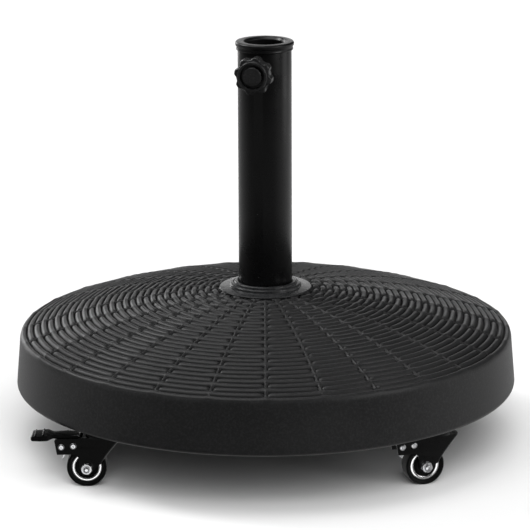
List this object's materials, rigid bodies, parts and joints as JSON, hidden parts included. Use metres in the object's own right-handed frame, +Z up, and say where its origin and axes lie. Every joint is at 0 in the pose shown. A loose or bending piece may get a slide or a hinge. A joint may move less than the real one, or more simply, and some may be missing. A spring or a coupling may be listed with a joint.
{
  "type": "parasol base",
  "caption": "Round ballasted parasol base with a wicker-look dome, clamped upright tube with a lobed knob, and swivel casters with brake levers.",
  "frame": {"origin": "on the floor, on the axis of the upright tube", "axes": "+Z up along the upright tube; -Y is the front, the side the clamp knob faces"},
  "size_m": [0.5164, 0.5164, 0.422],
  "materials": {
    "resin": "satin moulded resin, wicker weave pattern on the dome",
    "pan_resin": "plain moulded resin",
    "concrete": "cast concrete",
    "collar_paint": "satin black powder coat",
    "tube_paint": "semi-gloss black powder coat",
    "cap_plastic": "satin moulded plastic",
    "knob_plastic": "glossy moulded plastic",
    "nylon": "natural nylon",
    "zinc": "bright zinc plate",
    "fork_paint": "semi-gloss black paint",
    "hub_plastic": "moulded plastic with a bright trim ring",
    "tyre": "solid soft tread",
    "lever_plastic": "glossy moulded plastic"
  },
  "bodies": {
    "base": {"base_shell": "resin", "concrete_fill": "concrete", "bottom_pan": "pan_resin", "flange_collar": "collar_paint", "upright_tube": "tube_paint", "tube_foot_plate": "zinc", "top_cap": "cap_plastic", "centre_bolt": "zinc", "centre_washer": "zinc", "centre_nut": "zinc", "clamp_boss": "tube_paint", "caster_plate_front_left": "zinc", "kingpin_front_left": "zinc", "caster_plate_front_right": "zinc", "kingpin_front_right": "zinc", "caster_plate_rear_right": "zinc", "kingpin_rear_right": "zinc", "caster_plate_rear_left": "zinc", "kingpin_rear_left": "zinc"},
    "clamp_screw": {"knob_tip": "nylon"},
    "clamp_knob": {"knob_body": "knob_plastic", "knob_cap": "knob_plastic", "knob_stud": "zinc"},
    "swivel_front_left": {"fork_front_left": "fork_paint", "axle_bolt_front_left": "zinc", "axle_nut_front_left": "zinc", "lever_rivet_front_left": "zinc", "spring_rivet_front_left": "zinc", "brake_spring_front_left": "zinc"},
    "wheel_front_left": {"wheel_hub_front_left": "hub_plastic", "tyre_front_left": "tyre"},
    "lever_front_left": {"brake_lever_front_left": "lever_plastic"},
    "swivel_front_right": {"fork_front_right": "fork_paint", "axle_bolt_front_right": "zinc", "axle_nut_front_right": "zinc", "lever_rivet_front_right": "zinc", "spring_rivet_front_right": "zinc", "brake_spring_front_right": "zinc"},
    "wheel_front_right": {"wheel_hub_front_right": "hub_plastic", "tyre_front_right": "tyre"},
    "lever_front_right": {"brake_lever_front_right": "lever_plastic"},
    "swivel_rear_right": {"fork_rear_right": "fork_paint", "axle_bolt_rear_right": "zinc", "axle_nut_rear_right": "zinc", "lever_rivet_rear_right": "zinc", "spring_rivet_rear_right": "zinc", "brake_spring_rear_right": "zinc"},
    "wheel_rear_right": {"wheel_hub_rear_right": "hub_plastic", "tyre_rear_right": "tyre"},
    "lever_rear_right": {"brake_lever_rear_right": "lever_plastic"},
    "swivel_rear_left": {"fork_rear_left": "fork_paint", "axle_bolt_rear_left": "zinc", "axle_nut_rear_left": "zinc", "lever_rivet_rear_left": "zinc", "spring_rivet_rear_left": "zinc", "brake_spring_rear_left": "zinc"},
    "wheel_rear_left": {"wheel_hub_rear_left": "hub_plastic", "tyre_rear_left": "tyre"},
    "lever_rear_left": {"brake_lever_rear_left": "lever_plastic"}
  },
  "joints": [
    {"name": "knob_slide", "type": "slide", "parent": "base", "child": "clamp_screw", "axis": [-0.2504, -0.9681, 0], "range_m": [-0.00375, 0.005]},
    {"name": "knob_turn", "type": "hinge", "parent": "clamp_screw", "child": "clamp_knob", "pos_m": [-0.01302, -0.05034, 0.394], "axis": [-0.2504, -0.9681, 0], "range_deg": [-1081, 1441]},
    {"name": "swivel_front_left", "type": "hinge", "parent": "base", "child": "swivel_front_left", "pos_m": [-0.16515, -0.15133, 0.055], "axis": [0, 0, 1], "continuous": true},
    {"name": "wheel_front_left", "type": "hinge", "parent": "swivel_front_left", "child": "wheel_front_left", "pos_m": [-0.17915, -0.15133, 0.02], "axis": [0, 1, 0], "continuous": true},
    {"name": "brake_front_left", "type": "hinge", "parent": "swivel_front_left", "child": "lever_front_left", "pos_m": [-0.19215, -0.15133, 0.0432], "axis": [0, -1, 0], "range_deg": [0, 20]},
    {"name": "swivel_front_right", "type": "hinge", "parent": "base", "child": "swivel_front_right", "pos_m": [0.17008, -0.14577, 0.055], "axis": [0, 0, 1], "continuous": true},
    {"name": "wheel_front_right", "type": "hinge", "parent": "swivel_front_right", "child": "wheel_front_right", "pos_m": [0.15669, -0.14987, 0.02], "axis": [-0.2924, 0.9563, 0], "continuous": true},
    {"name": "brake_front_right", "type": "hinge", "parent": "swivel_front_right", "child": "lever_front_right", "pos_m": [0.14426, -0.15367, 0.0432], "axis": [0.2924, -0.9563, 0], "range_deg": [0, 20]},
    {"name": "swivel_rear_right", "type": "hinge", "parent": "base", "child": "swivel_rear_right", "pos_m": [0.16646, 0.14989, 0.055], "axis": [0, 0, 1], "continuous": true},
    {"name": "wheel_rear_right", "type": "hinge", "parent": "swivel_rear_right", "child": "wheel_rear_right", "pos_m": [0.15277, 0.14697, 0.02], "axis": [-0.2079, 0.9781, 0], "continuous": true},
    {"name": "brake_rear_right", "type": "hinge", "parent": "swivel_rear_right", "child": "lever_rear_right", "pos_m": [0.14005, 0.14427, 0.0432], "axis": [0.2079, -0.9781, 0], "range_deg": [0, 20]},
    {"name": "swivel_rear_left", "type": "hinge", "parent": "base", "child": "swivel_rear_left", "pos_m": [-0.16646, 0.14989, 0.055], "axis": [0, 0, 1], "continuous": true},
    {"name": "wheel_rear_left", "type": "hinge", "parent": "swivel_rear_left", "child": "wheel_rear_left", "pos_m": [-0.18029, 0.15208, 0.02], "axis": [0.1564, 0.9877, 0], "continuous": true},
    {"name": "brake_rear_left", "type": "hinge", "parent": "swivel_rear_left", "child": "lever_rear_left", "pos_m": [-0.19313, 0.15411, 0.0432], "axis": [-0.1564, -0.9877, 0], "range_deg": [0, 20]}
  ],
  "couplings": [
    {"joint": "knob_turn", "follows": "knob_slide", "rad_per_m": 5026.5}
  ]
}
